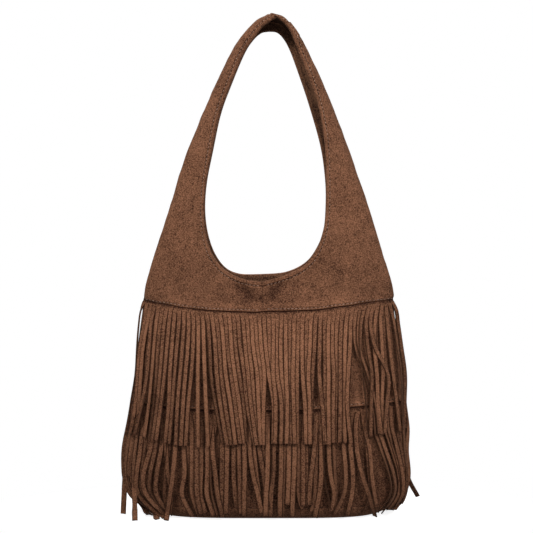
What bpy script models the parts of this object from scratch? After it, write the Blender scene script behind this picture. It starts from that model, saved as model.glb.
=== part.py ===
# Fringed suede shoulder bag, standing on its base with the strap held up.
# Metres, +Z up, floor at z = 0. The front faces -Y, and X runs across the bag.
# Every soft layer is a thin closed skin: a flat slab, bent onto the form of the bag at its own depth.

import math

import bmesh
import bpy
from mathutils import Vector

# Form of the body
YOKE_HALF_WIDTH = 0.142     # at the ends of the yoke seam
BODY_HALF_WIDTH = 0.160     # low on the body
BODY_HALF_DEPTH = 0.050     # low on the body
SEAM_HALF_DEPTH = 0.026     # at the yoke seam
SEAM_Z = 0.231              # yoke seam at the centre
SEAM_RISE = 0.0135          # how much higher the yoke seam ends
LOWER_SEAM_Z = 0.121        # seam that holds the lower fringe, at the centre
BASE_SEAM_Z = 0.006
CORNER_RADIUS = 0.046       # lower corners, seen from the front
BASE_EDGE_RADIUS = 0.012    # front and back edge of the base
WIDEST_Z = 0.050

# Yoke, strap and the opening between its arms
STRAP_TOP_Z = 0.571
MOUTH_Z = {"front": 0.264, "back": 0.272}
BAND_DROP = {"front": 0.009, "back": 0.018}     # from the top of the strap to its edge
OPENING_HALF_WIDTH = 0.070
ARM_DEPTH = 0.017           # from the outer seam of the strap to its edge, along Y

# Layers, from the outside in
SUEDE = 0.0014
LAYER_GAP = 0.0015          # room between the suede and its facing
FACING = 0.0011
LINING_INSET = 0.0029
LINING = 0.0005
GAP = 0.0003                # between pieces that touch

# Fringe
STRANDS = {"upper": 59, "lower": 59}
FRINGE = 0.0012             # thickness
HEADER = 0.0045             # uncut strip above the slits
STRAND_SHARE = 0.84         # of the pitch; the rest is the slit
UPPER_END_Z = 0.084         # ends of the upper strands at the centre
UPPER_END_RISE = 0.010
HEADER_STAND_OFF = 0.0008   # of the header from the panel under it
UPPER_STAND_OFF = 0.0062    # of the upper strands' ends from the body
LOWER_STAND_OFF = 0.0024
FLOOR_RUN = 0.015           # length of a lower strand that lies on the floor
FLARE = 0.005               # how far a lower strand bows out before it meets the floor
END_WAVE = 0.003            # unevenness of the upper strands' ends
SWAY = 0.0016               # how far strands drift into loose groups
SWAY_LENGTH = 0.092         # along the seam, from one loose group to the next

# Magnetic snap, in the middle of the mouth
SNAP_Z = 0.248
SNAP_RADIUS = 0.009
STUD_PLATE = 0.0018
SOCKET_PLATE = 0.0030
NUB_RADIUS = 0.0030
NUB_HEIGHT = 0.0012
NUB_CLEARANCE = 0.0005
BACKING_RADIUS = 0.0075
BACKING = 0.0005
PINCH_REACH = 0.045         # how far the pull of the snap spreads

# Outline of one half of the yoke: stations from the centre seam, round the corner at the end of the
# yoke seam, to the top of the strap. Inner edge: x in opening half widths, height in opening heights.
INNER_EDGE = (
    (0.0, 0.0), (0.36, 0.017), (0.65, 0.057), (0.85, 0.12), (0.965, 0.20), (1.0, 0.285), (0.985, 0.39),
    (0.92, 0.52), (0.80, 0.66), (0.635, 0.77), (0.44, 0.877), (0.293, 0.94), (0.146, 0.982), (0.0, 1.0),
)
# Depth of the inner edge at those stations, in arm depths
EDGE_SHARE = (0.47, 0.82, 1.12, 1.18, 1.12, 1.0, 0.91, 0.82, 0.76, 0.76, 0.82, 0.91, 1.0, 1.0)
# Outer edge from the corner on: x in yoke half widths, height in strap rises
OUTER_EDGE = (
    (1.0, 0.0), (0.923, 0.15), (0.813, 0.30), (0.673, 0.49), (0.547, 0.632), (0.423, 0.758),
    (0.305, 0.862), (0.215, 0.925), (0.102, 0.977), (0.0, 1.0),
)
SEAM_STATIONS = (0.0, 0.15, 0.33, 0.56, 1.0)    # of the yoke seam, up to the corner
CORNER = len(SEAM_STATIONS) - 1
LAST = len(INNER_EDGE) - 1

SIDES = {"front": -1, "back": 1}
COLOURS = {
    "suede": (0.145, 0.074, 0.044, 1.0),
    "fringe": (0.120, 0.060, 0.036, 1.0),
    "facing": (0.060, 0.031, 0.019, 1.0),
    "lining": (0.050, 0.034, 0.026, 1.0),
    "metal": (0.47, 0.44, 0.38, 1.0),
}


def blend(a, b, t):
    return a + (b - a) * t


def smooth(t):
    t = min(max(t, 0.0), 1.0)
    return t * t * (3 - 2 * t)


def steps(first, last, count):
    return [blend(first, last, i / count) for i in range(count + 1)]


def through(points, t):
    """The point at place t, from 0 to the last index, of a smooth curve through the points."""
    i = min(int(t), len(points) - 2)
    f = t - i
    p = [points[min(max(i + k, 0), len(points) - 1)] for k in (-1, 0, 1, 2)]
    weights = (
        -0.5 * f + f * f - 0.5 * f ** 3,
        1 - 2.5 * f * f + 1.5 * f ** 3,
        0.5 * f + 2 * f * f - 1.5 * f ** 3,
        -0.5 * f * f + 0.5 * f ** 3,
    )
    return [sum(w * q[axis] for w, q in zip(weights, p)) for axis in range(len(p[0]))]


def rounded(half, radius, z):
    """Half size of the body at height z, drawn in over the rounded lower edge."""
    below = max(radius - z, 0.0)
    return half - (radius - math.sqrt(max(radius ** 2 - below ** 2, 0.0)))


# Depth of the outer suede where the snap holds front and back together
SNAP_DEPTH = (STUD_PLATE + SOCKET_PLATE + GAP) / 2 + GAP + FACING + LAYER_GAP + SUEDE


def pinched(depth, x, z):
    """Depth from the middle plane, drawn in towards the snap."""
    pull = math.exp(-(x ** 2 + (z - SNAP_Z) ** 2) / (2 * PINCH_REACH ** 2))
    return blend(depth, SNAP_DEPTH, pull)


def section(s, h, inset):
    """Section of the body before the snap draws it in: s from -1 to 1 across, h from 0 at the floor to 1 at
    the yoke seam, inset inwards from the outer face. Gives x, depth, z and the share of full depth."""
    level = h * SEAM_Z
    taper = max(level - WIDEST_Z, 0.0) / (SEAM_Z - WIDEST_Z)
    width = blend(BODY_HALF_WIDTH, YOKE_HALF_WIDTH, taper ** 1.6)
    depth = blend(BODY_HALF_DEPTH, SEAM_HALF_DEPTH, taper ** 1.7)
    width = rounded(width, CORNER_RADIUS, level)
    depth = rounded(depth, BASE_EDGE_RADIUS, level)
    across = math.sin(s * math.pi / 2)
    crown = (1 - abs(across) ** blend(4.0, 2.2, h)) ** (1 / blend(2.2, 1.35, h))
    return across * (width - inset), depth * crown, h * (SEAM_Z + SEAM_RISE * across ** 2), crown


def on_body(side, s, h, inset):
    x, depth, z, crown = section(s, h, inset)
    return Vector((x, SIDES[side] * (pinched(depth, x, z) - inset * crown + GAP / 2), z))


def on_yoke(side, hand, station, u, inset):
    """Place on a yoke leaf: hand -1 left or 1 right, station along it, u from its inner edge (0) to its
    outer edge (1), inset inwards from its outer face."""
    rise = STRAP_TOP_Z - SEAM_Z - SEAM_RISE
    share_x, share_z = through(INNER_EDGE, station)
    inner_x = share_x * OPENING_HALF_WIDTH
    inner_z = blend(MOUTH_Z[side], STRAP_TOP_Z - BAND_DROP[side], share_z)
    inner_depth = through([(d,) for d in EDGE_SHARE], station)[0] * ARM_DEPTH
    if station <= CORNER:
        s = through([(s,) for s in SEAM_STATIONS], station)[0]
        outer_x, outer_depth, outer_z, crown = section(s, 1.0, inset)
    else:
        place = station - CORNER
        share_x, share_z = through(OUTER_EDGE, place)
        before = through(OUTER_EDGE, place - 0.1)
        along = Vector(((share_x - before[0]) * YOKE_HALF_WIDTH, (share_z - before[1]) * rise)).normalized()
        if station == LAST:
            along = Vector((-1.0, 0.0))
        outer_x = share_x * YOKE_HALF_WIDTH - along.y * inset
        outer_z = SEAM_Z + SEAM_RISE + share_z * rise + along.x * inset
        outer_depth = crown = 0.0
    # A flat leaf at the mouth turns into an arch over the strap
    arch = smooth(station / CORNER)
    turn = (1 - u) * math.pi / 2
    reach = blend(u, math.cos(turn), arch)
    lift = blend(1 - u, math.sin(turn), arch)
    x, z = blend(inner_x, outer_x, reach), blend(inner_z, outer_z, reach)
    depth = pinched(blend(outer_depth, inner_depth, lift), x, z) - inset * blend(crown, 1.0, lift)
    return Vector((hand * x, SIDES[side] * (depth + GAP / 2), z))


def even_stations(h, count):
    """Places s, from -1 to 1, that share the length of the body's section at h evenly."""
    fine = [section(s, h, 0.0)[:3] for s in steps(-1, 1, 400)]
    walked = [0.0]
    for a, b in zip(fine, fine[1:]):
        walked.append(walked[-1] + math.dist(a, b))
    found, i = [], 0
    for target in steps(0.0, walked[-1], count):
        while i < 399 and walked[i + 1] < target:
            i += 1
        found.append(-1 + (i + (target - walked[i]) / (walked[i + 1] - walked[i])) / 200)
    return found


def paint(obj, kind):
    """Gives the object a material of its own."""
    material = bpy.data.materials.new(obj.name)
    material.use_nodes = True
    shader = material.node_tree.nodes["Principled BSDF"]
    shader.inputs["Base Color"].default_value = COLOURS[kind]
    shader.inputs["Roughness"].default_value = 0.32 if kind == "metal" else 0.95
    shader.inputs["Metallic"].default_value = 1.0 if kind == "metal" else 0.0
    obj.data.materials.append(material)


def add(name, bm, kind):
    """Turns the mesh into a named piece of the bag."""
    bmesh.ops.remove_doubles(bm, verts=bm.verts[:], dist=1e-6)
    bmesh.ops.recalc_face_normals(bm, faces=bm.faces[:])
    mesh = bpy.data.meshes.new(name)
    bm.to_mesh(mesh)
    bm.free()
    mesh.shade_smooth()
    obj = bpy.data.objects.new(name, mesh)
    bag.objects.link(obj)
    paint(obj, kind)
    return obj


def skin(name, kind, us, vs, place, kept=None):
    """A closed thin skin: a grid over the values us and vs, thickened, then bent by place(u, v, inside).
    Faces that kept(column, row) refuses are left out, as the slits of a fringe are."""
    bm = bmesh.new()
    columns, rows = len(us) - 1, len(vs) - 1
    bmesh.ops.create_grid(bm, x_segments=columns, y_segments=rows, size=0.5)
    if kept:
        centres = [(face, face.calc_center_median()) for face in bm.faces]
        gone = [f for f, c in centres if not kept(int((c.x + 0.5) * columns), int((c.y + 0.5) * rows))]
        bmesh.ops.delete(bm, geom=gone, context="FACES")
    raised = bmesh.ops.extrude_face_region(bm, geom=bm.faces[:])["geom"]
    for vert in raised:
        if isinstance(vert, bmesh.types.BMVert):
            vert.co.z = 1.0
    for vert in bm.verts:
        u = us[round((vert.co.x + 0.5) * columns)]
        v = vs[round((vert.co.y + 0.5) * rows)]
        vert.co = place(u, v, vert.co.z > 0.5)
    return add(name, bm, kind)


# Finer near the snap, at the corner and round the top of the strap
YOKE_COLUMNS = steps(0, 3, 6) + steps(3, 4, 4)[1:] + steps(4, 5, 2)[1:]
YOKE_COLUMNS += steps(5, 10, 5)[1:] + steps(10, LAST, 6)[1:]


def build_yoke():
    for side in SIDES:
        for hand_name, hand in (("left", -1), ("right", 1)):
            def place(station, u, inside, side=side, hand=hand):
                spot = on_yoke(side, hand, station, u, SUEDE if inside else 0.0)
                # The leaf stops short of the centre seam, the strap-top seam and the yoke seam
                if station in (0, LAST):
                    spot.x = hand * GAP / 2
                if u == 1 and station <= CORNER:
                    spot.z += GAP
                return spot
            skin(f"yoke_{side}_{hand_name}", "suede", YOKE_COLUMNS, steps(0, 1, 4), place)


def build_facings():
    both = [-t for t in reversed(YOKE_COLUMNS[1:])] + YOKE_COLUMNS
    outer = SUEDE + LAYER_GAP
    for side in SIDES:
        def place(station, u, inside, side=side):
            hand = -1 if station < 0 else 1
            spot = on_yoke(side, hand, abs(station), u, outer + (FACING if inside else 0.0))
            if abs(station) == LAST:
                spot.x = hand * GAP / 2
            if u == 1 and abs(station) <= CORNER:
                spot.z += GAP
            return spot
        skin(f"facing_{side}", "facing", both, steps(0, 1, 4), place)


def build_panels():
    gap = GAP / SEAM_Z
    lower, base = LOWER_SEAM_Z / SEAM_Z, BASE_SEAM_Z / SEAM_Z
    heights = {
        "middle": steps(lower + gap, 1 - gap - HEADER / SEAM_Z, 4) + [1 - gap],
        "lower": [base, 2.2 * base, 0.1, 0.2, 0.36, lower - gap],
    }
    for side in SIDES:
        for part, hs in heights.items():
            def place(s, h, inside, side=side):
                return on_body(side, s, h, SUEDE if inside else 0.0)
            columns = 28 if part == "middle" else 20
            skin(f"body_{side}_{part}", "suede", steps(-1, 1, columns), hs, place)


def ring(h, inset, lowest=0.0):
    """Closed ring round the body at h, from the left side seam over the front and back again."""
    s_values = steps(-1, 1, 20)
    spots = []
    for side, across in (("front", s_values), ("back", s_values[::-1][1:-1])):
        for s in across:
            x, depth, z, crown = section(s, h, inset)
            spots.append(Vector((x, SIDES[side] * max(depth - inset * crown, 0.0), max(z, lowest))))
    return spots


def build_base():
    """Base panel: a flat bottom with its rim turned up to the base seam."""
    top = (BASE_SEAM_Z - GAP) / SEAM_Z
    bend = 0.35 * top
    rings = [
        ring(0.0, 0.0), ring(bend, 0.0), ring(top, 0.0),
        ring(top, SUEDE), ring(bend, SUEDE, SUEDE + GAP), ring(0.0, SUEDE, SUEDE),
    ]
    bm = bmesh.new()
    loops = []
    for i, spots in enumerate(rings):
        capped = i in (0, len(rings) - 1)
        circle = bmesh.ops.create_circle(bm, cap_ends=capped, segments=len(spots), radius=1.0)["verts"]
        loops.append({edge for vert in circle for edge in vert.link_edges})
        for vert, spot in zip(circle, spots):
            vert.co = spot
    for a, b in zip(loops, loops[1:]):
        bmesh.ops.bridge_loops(bm, edges=list(a | b))
    return add("base_panel", bm, "suede")


def build_linings():
    """Two fabric panels that meet at the sides and along the middle of the floor."""
    low = 0.035
    for side in SIDES:
        def place(s, v, inside, side=side):
            inset = LINING_INSET + (LINING if inside else 0.0)
            spot = on_body(side, s, max(v, 0.0), inset)
            if v <= 0:      # the floor of the lining runs in to the middle
                spot.z = SUEDE + GAP + (LINING if inside else 0.0)
            if v < 0:
                spot.y = SIDES[side] * GAP / 2
            return spot
        rows = [-1.0, 0.0, low, 0.2, 0.45, 0.7, 0.84, 0.92, 1 - GAP / SEAM_Z]
        skin(f"lining_{side}", "lining", steps(-1, 1, 14), rows, place)


def build_fringe(side, tier):
    """A strip of suede, slit into strands below its header."""
    count = STRANDS[tier]
    top = (SEAM_Z if tier == "upper" else LOWER_SEAM_Z) / SEAM_Z - GAP / SEAM_Z
    header = top - HEADER / SEAM_Z
    edges = even_stations(top, count)
    pad = (1 - STRAND_SHARE) / 2
    us = []
    for a, b in zip(edges, edges[1:]):
        us += [blend(a, b, pad), blend(a, b, 1 - pad)]
    us[0], us[-1] = blend(-1, us[0], 0.9), blend(1, us[-1], 0.9)
    drops = (0, 0.3, 0.65, 1.0) if tier == "upper" else (0, 0.3, 0.55, 0.78, 0.9, 1.0)
    vs = [-1.0] + list(drops)

    def place(s, v, inside):
        middle = 0.5 * (us[2 * (us.index(s) // 2)] + us[2 * (us.index(s) // 2) + 1])
        thick = 0.0 if inside else FRINGE
        if v < 0:
            return on_body(side, s, top, -HEADER_STAND_OFF - thick)
        if tier == "upper":
            end = (UPPER_END_Z + UPPER_END_RISE * middle ** 2 + END_WAVE * math.sin(17 * middle)) / SEAM_Z
            h = blend(header, end, v)
            out = blend(HEADER_STAND_OFF, UPPER_STAND_OFF, smooth(v * 1.2))
            drift = v * v
        else:
            # Down the body, then out over the floor
            fall = min(v / drops[-2], 1.0)
            h = blend(header, 2 * FRINGE / SEAM_Z, fall)
            out = blend(HEADER_STAND_OFF, LOWER_STAND_OFF, smooth(2 * fall))
            out += FLARE * smooth((fall - 0.7) / 0.3)
            drift = fall * (1 - fall)
        spot = on_body(side, s, h, -out - thick)
        spot.x += SWAY * drift * math.sin(2 * math.pi * spot.x / SWAY_LENGTH + SIDES[side])
        if v == 1 and tier == "lower":
            foot = on_body(side, s, h, -out)
            away = (foot - on_body(side, s, h, -out + 0.001)).normalized()
            spot = foot + away * FLOOR_RUN
            spot.z = GAP + thick
        return spot

    skin(f"fringe_{side}_{tier}", "fringe", us, vs, place, lambda column, row: row == 0 or column % 2 == 0)


def turned(name, kind, profile, y, facing):
    """A turned piece with its axis along Y: profile in radius and height, from the rim's top down."""
    mesh = bpy.data.meshes.new(name)
    bm = bmesh.new()
    spots = [bm.verts.new((radius, 0.0, height)) for radius, height in profile]
    for a, b in zip(spots, spots[1:]):
        bm.edges.new((a, b))
    bm.to_mesh(mesh)
    bm.free()
    obj = bpy.data.objects.new(name, mesh)
    bag.objects.link(obj)
    obj.location = (0.0, y, SNAP_Z)
    obj.rotation_euler = (-facing * math.pi / 2, 0.0, 0.0)
    screw = obj.modifiers.new("Turn", "SCREW")
    screw.steps = screw.render_steps = 24
    screw.use_merge_vertices = True
    screw.merge_threshold = 1e-5
    screw.use_smooth_shade = False
    paint(obj, kind)
    return obj


def build_snap():
    """Stud half on the front facing, socket half on the back facing, a backing plate behind each."""
    half = (STUD_PLATE + SOCKET_PLATE + GAP) / 2
    chamfer = 0.0004
    rim, bore = SNAP_RADIUS, NUB_RADIUS + NUB_CLEARANCE
    depth = NUB_HEIGHT + NUB_CLEARANCE
    turned("snap_stud", "metal", (
        (0.0, STUD_PLATE + NUB_HEIGHT), (NUB_RADIUS - chamfer, STUD_PLATE + NUB_HEIGHT),
        (NUB_RADIUS, STUD_PLATE + NUB_HEIGHT - chamfer), (NUB_RADIUS, STUD_PLATE),
        (rim - chamfer, STUD_PLATE), (rim, STUD_PLATE - chamfer), (rim, 0.0), (0.0, 0.0),
    ), -half, 1)
    turned("snap_socket", "metal", (
        (0.0, SOCKET_PLATE - depth), (bore, SOCKET_PLATE - depth), (bore, SOCKET_PLATE),
        (rim - chamfer, SOCKET_PLATE), (rim, SOCKET_PLATE - chamfer), (rim, 0.0), (0.0, 0.0),
    ), half, -1)
    back = half + GAP + FACING + LAYER_GAP - GAP - BACKING
    for side, sign in SIDES.items():
        turned(f"snap_backing_{side}", "metal", (
            (0.0, BACKING), (BACKING_RADIUS, BACKING), (BACKING_RADIUS, 0.0), (0.0, 0.0),
        ), sign * (back + BACKING), -sign)


for old in list(bpy.data.objects):
    bpy.data.objects.remove(old, do_unlink=True)
bag = bpy.data.collections.new("shoulder_bag")
bpy.context.scene.collection.children.link(bag)

build_yoke()
build_facings()
build_panels()
build_base()
build_linings()
for side in SIDES:
    for tier in STRANDS:
        build_fringe(side, tier)
build_snap()
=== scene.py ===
import math
import random

import bmesh
import bpy
from mathutils import Matrix, Vector, noise


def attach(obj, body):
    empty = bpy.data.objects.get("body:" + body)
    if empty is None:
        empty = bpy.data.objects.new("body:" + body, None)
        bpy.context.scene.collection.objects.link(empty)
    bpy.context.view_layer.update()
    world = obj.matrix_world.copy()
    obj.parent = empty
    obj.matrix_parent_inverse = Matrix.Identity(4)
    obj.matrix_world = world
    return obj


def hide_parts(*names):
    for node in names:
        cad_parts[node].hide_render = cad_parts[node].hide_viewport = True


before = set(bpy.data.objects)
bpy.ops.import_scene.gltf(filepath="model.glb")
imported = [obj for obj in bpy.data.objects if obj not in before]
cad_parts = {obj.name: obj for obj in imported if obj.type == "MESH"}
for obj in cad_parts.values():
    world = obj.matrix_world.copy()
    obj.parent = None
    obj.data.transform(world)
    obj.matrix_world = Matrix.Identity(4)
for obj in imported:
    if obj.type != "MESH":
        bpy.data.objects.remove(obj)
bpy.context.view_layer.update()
cadNodes = sorted(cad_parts)
print("frame loaded:", len(cadNodes), "solids")


# Small helpers

def mm(value):
    return value / 1000


def blend(a, b, t):
    return a + (b - a) * t


def smooth(t):
    t = min(max(t, 0.0), 1.0)
    return t * t * (3 - 2 * t)


def bell(distance, reach):
    return math.exp(-(distance / reach) ** 2)


def steps(first, last, count):
    return [blend(first, last, i / count) for i in range(count + 1)]


def through(points, t):  # smooth curve through points, t from 0 to the last index
    i = min(max(int(t), 0), len(points) - 2)
    f = t - i
    p = [points[min(max(i + k, 0), len(points) - 1)] for k in (-1, 0, 1, 2)]
    weights = (
        -0.5 * f + f * f - 0.5 * f ** 3,
        1 - 2.5 * f * f + 1.5 * f ** 3,
        0.5 * f + 2 * f * f - 1.5 * f ** 3,
        -0.5 * f * f + 0.5 * f ** 3,
    )
    return [sum(w * q[axis] for w, q in zip(weights, p)) for axis in range(len(p[0]))]


def alongTable(table, x):  # height at x from pairs sorted by x, ends held
    if x <= table[0][0]:
        return table[0][1]
    for (x0, z0), (x1, z1) in zip(table, table[1:]):
        if x <= x1:
            return blend(z0, z1, smooth((x - x0) / (x1 - x0)) * 0.4 + 0.6 * (x - x0) / (x1 - x0))
    return table[-1][1]


sideSign = {"front": -1, "back": 1}
handSign = {"left": -1, "right": 1}


# Camera, floor and light

studio = {
    "eye": (-0.002, -1.5, 0.281),
    "lens": 88.4,
    "key": 93.0,           # watts, gridded lamp above, in front and left; its pool fades towards the floor
    "fill": 57.0,           # watts, its weaker twin from the right
    "keyAim": 0.40, "fillAim": 0.31,    # m above the floor
    "keyPool": 27.0,        # degrees, whole cone
    "soft": 5.0,            # watts, wide and weak from straight in front
    "world": 0.18,
    "floorBounce": "3a3836",
}

camera = bpy.data.objects.new("camera", bpy.data.cameras.new("camera"))
camera.location = studio["eye"]
camera.rotation_euler = (math.pi / 2, 0, 0)
camera.data.lens = studio["lens"]
camera.data.sensor_width = 36
camera.data.clip_start, camera.data.clip_end = 0.05, 50
bpy.context.scene.collection.objects.link(camera)
bpy.context.scene.camera = camera
bpy.context.scene.view_settings.view_transform = "Standard"


def srgb(code):  # "rrggbb" to linear
    channels = [int(code[i:i + 2], 16) / 255 for i in (0, 2, 4)]
    return [c / 12.92 if c <= 0.04045 else ((c + 0.055) / 1.055) ** 2.4 for c in channels] + [1.0]


def addNode(tree, kind, settings=None, **links):
    # one node, its settings, and the values or links of its inputs (underscores stand for spaces)
    node = tree.nodes.new(kind)
    for name, value in (settings or {}).items():
        setattr(node, name, value)
    for name, value in links.items():
        numbered = name[0] == "n" and name[1:].isdigit()
        socket = node.inputs[int(name[1:]) if numbered else name.replace("_", " ")]
        if isinstance(value, bpy.types.NodeSocket):
            tree.links.new(value, socket)
        else:
            socket.default_value = value
    return node


def newMaterial(name):
    made = bpy.data.materials.new(name)
    made.use_nodes = True
    made.node_tree.nodes.clear()
    return made, made.node_tree


def finishMaterial(tree, shader):
    addNode(tree, "ShaderNodeOutputMaterial", Surface=shader.outputs[0])


def lamp(name, spot, aim, size, power, tint):
    light = bpy.data.lights.new(name, "AREA")
    light.shape = "RECTANGLE"
    light.size, light.size_y = size
    light.energy = power
    light.color = srgb(tint)[:3]
    obj = bpy.data.objects.new(name, light)
    obj.location = spot
    obj.rotation_euler = (Vector(aim) - Vector(spot)).to_track_quat("-Z", "Y").to_euler()
    bpy.context.scene.collection.objects.link(obj)


def griddedLamp(name, spot, aim, cone, power, tint):
    light = bpy.data.lights.new(name, "SPOT")
    light.spot_size, light.spot_blend = math.radians(cone), 1.0
    light.shadow_soft_size = 0.2
    light.energy = power
    light.color = srgb(tint)[:3]
    obj = bpy.data.objects.new(name, light)
    obj.location = spot
    obj.rotation_euler = (Vector(aim) - Vector(spot)).to_track_quat("-Z", "Y").to_euler()
    bpy.context.scene.collection.objects.link(obj)


griddedLamp("keyLamp", (-1.0, -1.2, 1.7), (0, 0, studio["keyAim"]), studio["keyPool"],
            studio["key"], "fffaf4")
griddedLamp("fillLamp", (0.95, -1.3, 1.4), (0.06, 0, studio["fillAim"]), studio["keyPool"],
            studio["fill"], "fffaf6")
lamp("frontLamp", (0.15, -2.0, 0.45), (0, 0, 0.36), (1.4, 0.7), studio["soft"], "fbfaff")
lamp("backLamp", (0.3, 1.4, 1.3), (0, 0, 0.35), (1.4, 0.8), 9.0, "ffffff")

world = bpy.data.worlds.new("studioAir")
world.use_nodes = True
world.node_tree.nodes.clear()
bpy.context.scene.world = world
path = addNode(world.node_tree, "ShaderNodeLightPath")
seen = addNode(world.node_tree, "ShaderNodeMath", {"operation": "MAXIMUM"},
               n0=path.outputs["Is Camera Ray"], n1=path.outputs["Is Glossy Ray"])
strength = addNode(world.node_tree, "ShaderNodeMapRange", Value=seen.outputs[0],
                   From_Min=0.0, From_Max=1.0, To_Min=studio["world"], To_Max=1.0)
air = addNode(world.node_tree, "ShaderNodeBackground", Color=(1, 1, 1, 1),
              Strength=strength.outputs["Result"])
addNode(world.node_tree, "ShaderNodeOutputWorld", Surface=air.outputs[0])


def makeFloor():
    # matt white paper: plain white away from the bag, with the bag's own shadow round its foot
    made, tree = newMaterial("mattPaperFloor")
    ray = addNode(tree, "ShaderNodeLightPath")
    white = addNode(tree, "ShaderNodeMath", {"operation": "MAXIMUM"},
                    n0=ray.outputs["Is Camera Ray"], n1=ray.outputs["Is Glossy Ray"])
    paper = addNode(tree, "ShaderNodeBsdfDiffuse", Color=srgb("f4f4f4"))
    dull = addNode(tree, "ShaderNodeBsdfDiffuse", Color=srgb(studio["floorBounce"]))
    glow = addNode(tree, "ShaderNodeEmission", Color=(1, 1, 1, 1), Strength=0.85)
    lit = addNode(tree, "ShaderNodeAddShader", n0=paper.outputs[0], n1=glow.outputs[0])
    place = addNode(tree, "ShaderNodeTexCoord").outputs["Object"]
    oval = addNode(tree, "ShaderNodeVectorMath", {"operation": "MULTIPLY"}, n0=place, n1=(1.0, 1.6, 0.0))
    reach = addNode(tree, "ShaderNodeVectorMath", {"operation": "LENGTH"}, n0=oval.outputs[0])
    away = addNode(tree, "ShaderNodeMapRange", {"interpolation_type": "SMOOTHSTEP"},
                   Value=reach.outputs["Value"],
                   From_Min=0.19, From_Max=0.34)
    plain = addNode(tree, "ShaderNodeEmission", Color=(1, 1, 1, 1), Strength=1.0)
    seenPaper = addNode(tree, "ShaderNodeMixShader", n0=away.outputs["Result"], n1=lit.outputs[0],
                        n2=plain.outputs[0])
    mixed = addNode(tree, "ShaderNodeMixShader", n0=white.outputs[0], n1=dull.outputs[0],
                    n2=seenPaper.outputs[0])
    finishMaterial(tree, mixed)
    bm = bmesh.new()
    bmesh.ops.create_grid(bm, x_segments=2, y_segments=2, size=30)
    mesh = bpy.data.meshes.new("paperFloor")
    bm.to_mesh(mesh)
    bm.free()
    obj = bpy.data.objects.new("paperFloor", mesh)
    obj.data.materials.append(made)
    bpy.context.scene.collection.objects.link(obj)


makeFloor()
print("camera, lamps and floor set")


# Finishes

suedeLook = {
    "dark": "3b2318",       # between the fibre ends, nap brushed away from the light
    "light": "a87659",      # fibre ends brushed towards it
    "cloud": 24.0,          # mm, patches of turned nap
    "smudge": 6.0,          # mm, finger marks inside the patches
    "grain": 1.35,          # mm, real nap is 0.3 mm; drawn coarser so that it shows at this size
    "bump": 0.5,            # mm
    "cloudShare": 0.30, "smudgeShare": 0.28, "grainShare": 1.7,
    "spread": 0.62,         # of the summed noise that runs from dark to light
}


def suede(name, dark, light, tone=None, sheen=0.25):
    # Brushed polyester microsuede: matt, cloudy where the nap is turned, with a fine pepper of fibre ends
    look = suedeLook
    made, tree = newMaterial(name)
    place = addNode(tree, "ShaderNodeTexCoord").outputs["Object"]
    level = 0.0
    heights = {}
    for kind, detail, rough in (("cloud", 2.0, 0.5), ("smudge", 3.0, 0.6), ("grain", 2.0, 0.7)):
        spots = addNode(tree, "ShaderNodeTexNoise", Vector=place, Scale=1000 / look[kind], Detail=detail,
                        Roughness=rough)
        heights[kind] = spots.outputs["Fac"]
        level = addNode(tree, "ShaderNodeMath", {"operation": "MULTIPLY_ADD"}, n0=spots.outputs["Fac"],
                        n1=look[kind + "Share"], n2=level).outputs[0]
    if tone:    # a strand's tone differs at random from its neighbour's; painted shade darkens grooves, seams, folds and the foot, and painted highlight lightens ridges
        own = addNode(tree, "ShaderNodeAttribute", {"attribute_name": tone}).outputs["Fac"]
        level = addNode(tree, "ShaderNodeMath", {"operation": "MULTIPLY_ADD"}, n0=own, n1=0.22,
                        n2=level).outputs[0]
    middle = (look["cloudShare"] + look["smudgeShare"] + look["grainShare"]) / 2
    share = addNode(tree, "ShaderNodeMapRange", Value=level, From_Min=middle - look["spread"] / 2,
                    From_Max=middle + look["spread"] / 2, To_Min=0.0, To_Max=1.0)
    colour = addNode(tree, "ShaderNodeMix", {"data_type": "RGBA"}, n0=share.outputs["Result"],
                     n6=srgb(dark), n7=srgb(light))
    height = addNode(tree, "ShaderNodeBump", Strength=1.0, Distance=mm(look["bump"]), Height=heights["grain"])
    shader = addNode(tree, "ShaderNodeBsdfPrincipled", Base_Color=colour.outputs[2], Roughness=0.94,
                     Sheen_Weight=sheen, Sheen_Roughness=0.45, Sheen_Tint=srgb("c9a58e"), IOR=1.45,
                     Normal=height.outputs["Normal"])
    shader.inputs["Specular IOR Level"].default_value = 0.2
    finishMaterial(tree, shader)
    return made


def cutEdgeWithPaintedShade():
    # Raw cut side of the microsuede: darker than the nap, partly its own colour and partly painted shade of the
    # narrow gaps between strands, with fine flecks, so each strand has an outline
    made, tree = newMaterial("microsuedeCutEdgePaintedShade")
    place = addNode(tree, "ShaderNodeTexCoord").outputs["Object"]
    fleck = addNode(tree, "ShaderNodeTexNoise", Vector=place, Scale=1000 / 1.2, Detail=2.0)
    colour = addNode(tree, "ShaderNodeMix", {"data_type": "RGBA"}, n0=fleck.outputs["Fac"],
                     n6=srgb("2e1c13"), n7=srgb("5c3e2c"))
    shader = addNode(tree, "ShaderNodeBsdfPrincipled", Base_Color=colour.outputs[2], Roughness=0.95, IOR=1.45)
    shader.inputs["Specular IOR Level"].default_value = 0.15
    finishMaterial(tree, shader)
    return made


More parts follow.
